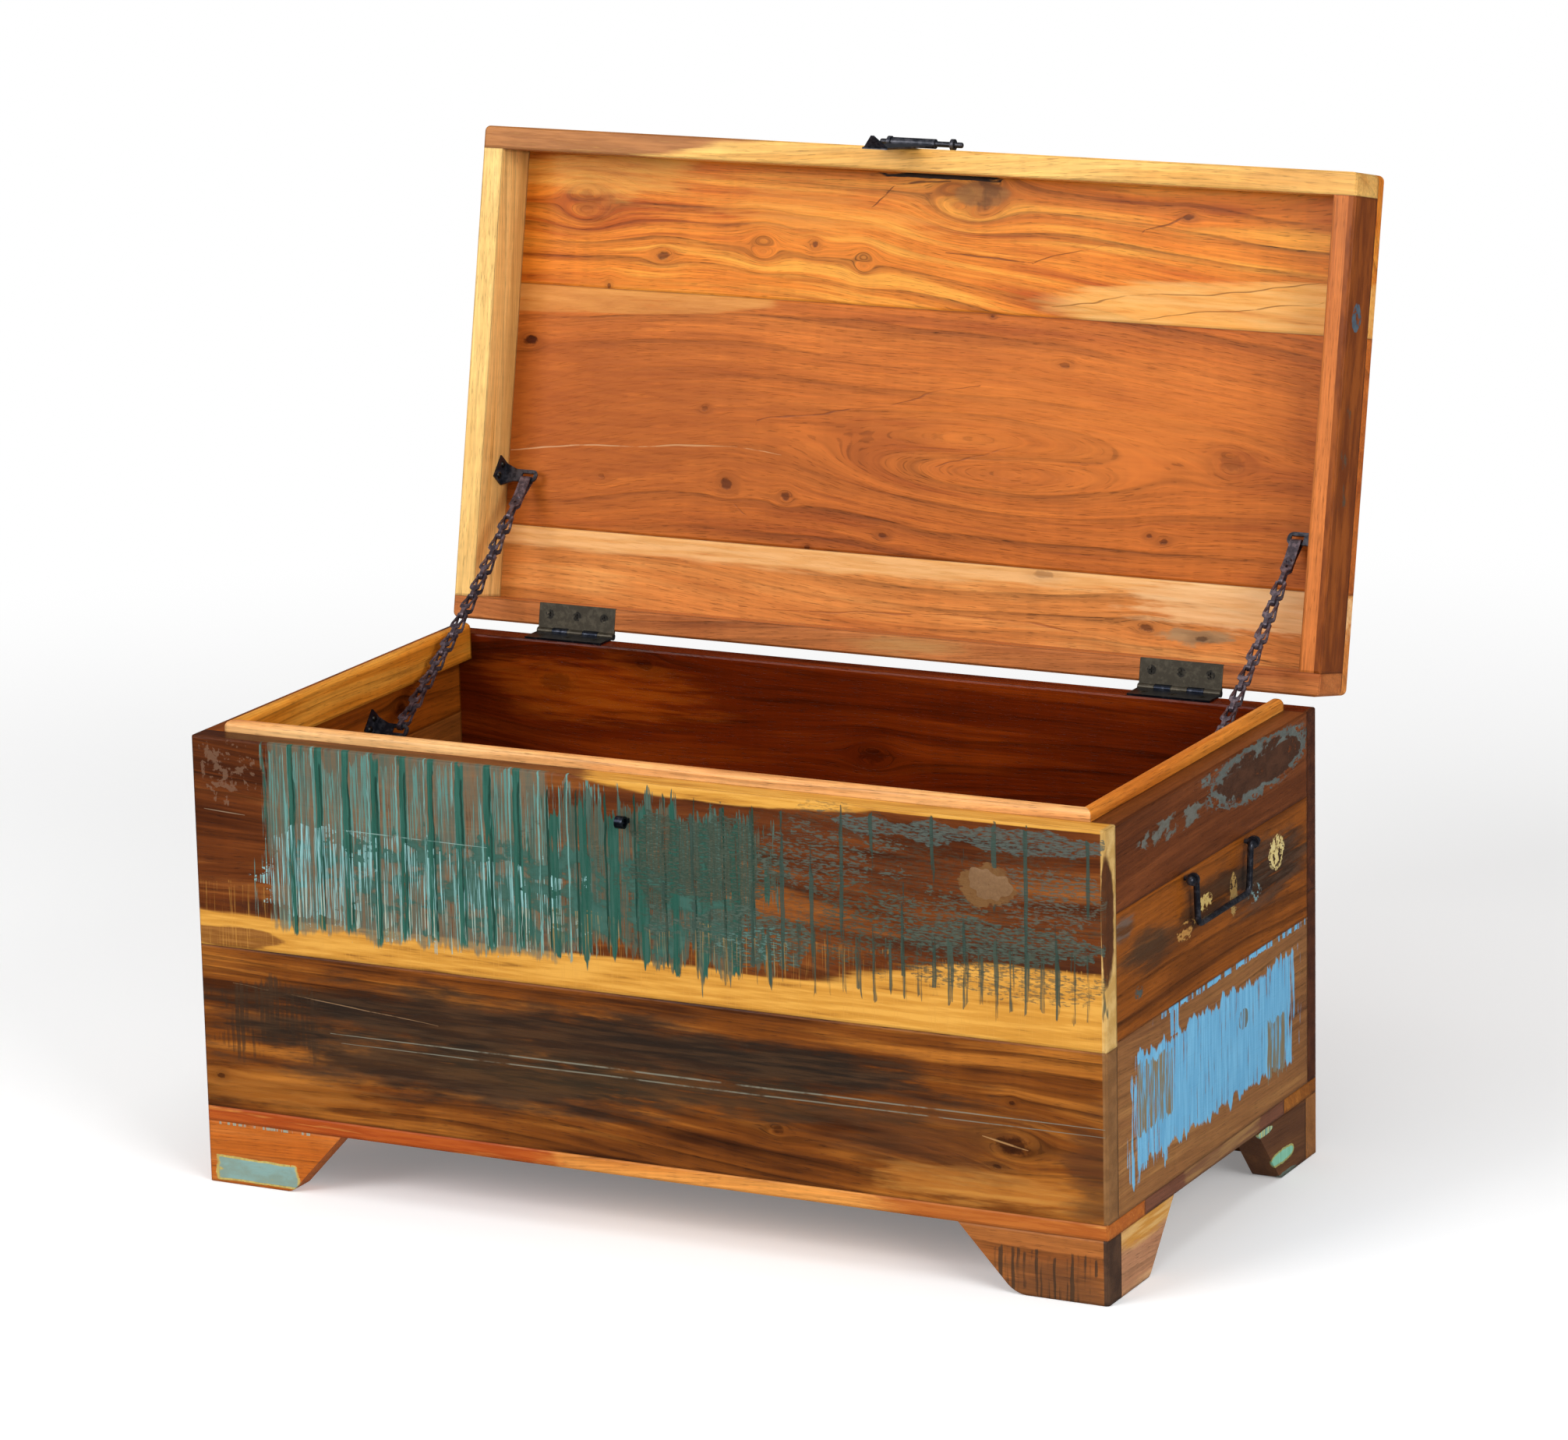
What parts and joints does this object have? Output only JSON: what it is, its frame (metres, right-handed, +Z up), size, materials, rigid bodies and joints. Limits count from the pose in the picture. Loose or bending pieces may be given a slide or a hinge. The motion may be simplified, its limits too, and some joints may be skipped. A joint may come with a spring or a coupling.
{
  "type": "storage chest",
  "caption": "Reclaimed-board storage chest on bracket feet, with a hinged lid held open by link chains, a hasp with staple and drop bail handles.",
  "frame": {"origin": "on the floor, at the middle of the footprint of the whole chest with its lid open", "axes": "+X to the right along the width, +Y to the back, where the lid's hinges are, +Z up"},
  "size_m": [0.825, 0.583, 0.8113],
  "materials": {
    "painted_board": "gloss varnish over worn paint",
    "brown_board": "gloss varnish",
    "red_wood": "gloss varnish",
    "golden_wood": "gloss varnish",
    "pale_wood": "gloss varnish",
    "dark_iron": "blackened",
    "hinge_iron": "blackened, worn bronze"
  },
  "bodies": {
    "box": {"front_board_lower": "brown_board", "front_board_upper": "painted_board", "back_board_lower": "red_wood", "back_board_upper": "red_wood", "left_board_lower": "brown_board", "left_board_middle": "brown_board", "left_board_top": "red_wood", "right_board_lower": "brown_board", "right_board_middle": "brown_board", "right_board_top": "red_wood", "base_strip_front": "golden_wood", "base_strip_back": "brown_board", "base_strip_left": "brown_board", "base_strip_right": "brown_board", "bottom_panel": "red_wood", "foot_front_left_long": "brown_board", "foot_front_left_side": "brown_board", "foot_front_right_long": "brown_board", "foot_front_right_side": "brown_board", "foot_back_left_long": "brown_board", "foot_back_left_side": "brown_board", "foot_back_right_long": "brown_board", "foot_back_right_side": "brown_board", "lip_front": "golden_wood", "lip_left": "golden_wood", "lip_right": "golden_wood", "hinge_leaves_box": "hinge_iron", "hinge_pins": "hinge_iron", "screws_box": "dark_iron", "chain_brackets_box": "dark_iron", "lock_staple": "dark_iron", "handle_eyes": "dark_iron"},
    "lid": {"lid_rail_front": "golden_wood", "lid_rail_rear": "red_wood", "lid_rail_left": "pale_wood", "lid_rail_right": "golden_wood", "lid_board_front": "golden_wood", "lid_board_middle": "red_wood", "lid_board_rear": "golden_wood", "hinge_leaves_lid": "hinge_iron", "screws_lid": "dark_iron", "chain_brackets_lid": "dark_iron", "hasp_eyes": "dark_iron", "hasp_rod": "dark_iron"},
    "hasp_plate": {"hasp_plate": "dark_iron"},
    "handle_left": {"handle_left": "dark_iron"},
    "handle_right": {"handle_right": "dark_iron"},
    "chain_strap": {"chain_straps": "dark_iron"},
    "chain_link_01": {"chain_link_01": "dark_iron"},
    "chain_link_02": {"chain_link_02": "dark_iron"},
    "chain_link_03": {"chain_link_03": "dark_iron"},
    "chain_link_04": {"chain_link_04": "dark_iron"},
    "chain_link_05": {"chain_link_05": "dark_iron"},
    "chain_link_06": {"chain_link_06": "dark_iron"},
    "chain_link_07": {"chain_link_07": "dark_iron"},
    "chain_link_08": {"chain_link_08": "dark_iron"},
    "chain_link_09": {"chain_link_09": "dark_iron"},
    "chain_link_10": {"chain_link_10": "dark_iron"},
    "chain_link_11": {"chain_link_11": "dark_iron"}
  },
  "joints": [
    {"name": "lid_hinge", "type": "hinge", "parent": "box", "child": "lid", "pos_m": [0, 0.14603, 0.376], "axis": [1, 0, 0], "range_deg": [0, 101.5]},
    {"name": "chain_pivot_01", "type": "hinge", "parent": "box", "child": "chain_link_01", "pos_m": [0, -0.02147, 0.326], "axis": [1, 0, 0], "range_deg": [-93.2, 0]},
    {"name": "chain_pivot_02", "type": "hinge", "parent": "chain_link_01", "child": "chain_link_02", "pos_m": [0, -0.0022, 0.33674], "axis": [1, 0, 0], "range_deg": [0, 41.3]},
    {"name": "chain_pivot_03", "type": "hinge", "parent": "chain_link_02", "child": "chain_link_03", "pos_m": [0, 0.01606, 0.34913], "axis": [1, 0, 0], "range_deg": [0, 49.1]},
    {"name": "chain_pivot_04", "type": "hinge", "parent": "chain_link_03", "child": "chain_link_04", "pos_m": [0, 0.03514, 0.3602], "axis": [1, 0, 0], "range_deg": [0, 11.8]},
    {"name": "chain_pivot_05", "type": "hinge", "parent": "chain_link_04", "child": "chain_link_05", "pos_m": [0, 0.05307, 0.37306], "axis": [1, 0, 0], "range_deg": [-8, 0]},
    {"name": "chain_pivot_06", "type": "hinge", "parent": "chain_link_05", "child": "chain_link_06", "pos_m": [0, 0.07195, 0.38447], "axis": [1, 0, 0], "range_deg": [0, 11.2]},
    {"name": "chain_pivot_07", "type": "hinge", "parent": "chain_link_06", "child": "chain_link_07", "pos_m": [0, 0.08942, 0.39794], "axis": [1, 0, 0], "range_deg": [-5.6, 0]},
    {"name": "chain_pivot_08", "type": "hinge", "parent": "chain_link_07", "child": "chain_link_08", "pos_m": [0, 0.10768, 0.41032], "axis": [1, 0, 0], "range_deg": [0, 19.2]},
    {"name": "chain_pivot_09", "type": "hinge", "parent": "chain_link_08", "child": "chain_link_09", "pos_m": [0, 0.12467, 0.4244], "axis": [1, 0, 0], "range_deg": [0, 47.3]},
    {"name": "chain_pivot_10", "type": "hinge", "parent": "chain_link_09", "child": "chain_link_10", "pos_m": [0, 0.14214, 0.43787], "axis": [1, 0, 0], "range_deg": [0, 41.5]},
    {"name": "chain_pivot_11", "type": "hinge", "parent": "chain_link_10", "child": "chain_link_11", "pos_m": [0, 0.15837, 0.45282], "axis": [1, 0, 0], "range_deg": [0, 47.8]},
    {"name": "chain_strap_pivot", "type": "hinge", "parent": "lid", "child": "chain_strap", "pos_m": [0, 0.20672, 0.49172], "axis": [1, 0, 0], "range_deg": [0, 48.3]},
    {"name": "hasp_plate_pivot", "type": "hinge", "parent": "lid", "child": "hasp_plate", "pos_m": [0.0012, 0.25777, 0.79381], "axis": [-1, 0, 0], "range_deg": [0, 165]},
    {"name": "handle_left_pivot", "type": "hinge", "parent": "box", "child": "handle_left", "pos_m": [-0.4075, -0.06847, 0.2995], "axis": [0, 1, 0], "range_deg": [-6, 174]},
    {"name": "handle_right_pivot", "type": "hinge", "parent": "box", "child": "handle_right", "pos_m": [0.4075, -0.06847, 0.2995], "axis": [0, -1, 0], "range_deg": [-6, 174]}
  ],
  "couplings": [
    {"joint": "chain_pivot_01", "follows": "lid_hinge", "ratio": -0.918},
    {"joint": "chain_pivot_02", "follows": "lid_hinge", "ratio": 0.406},
    {"joint": "chain_pivot_03", "follows": "lid_hinge", "ratio": 0.483},
    {"joint": "chain_pivot_04", "follows": "lid_hinge", "ratio": 0.116},
    {"joint": "chain_pivot_05", "follows": "lid_hinge", "ratio": -0.078},
    {"joint": "chain_pivot_06", "follows": "lid_hinge", "ratio": 0.11},
    {"joint": "chain_pivot_07", "follows": "lid_hinge", "ratio": -0.055},
    {"joint": "chain_pivot_08", "follows": "lid_hinge", "ratio": 0.189},
    {"joint": "chain_pivot_09", "follows": "lid_hinge", "ratio": 0.466},
    {"joint": "chain_pivot_10", "follows": "lid_hinge", "ratio": 0.408},
    {"joint": "chain_pivot_11", "follows": "lid_hinge", "ratio": 0.47},
    {"joint": "chain_strap_pivot", "follows": "lid_hinge", "ratio": 0.475},
    {"joint": "hasp_plate_pivot", "follows": "lid_hinge", "ratio": 0.197}
  ]
}
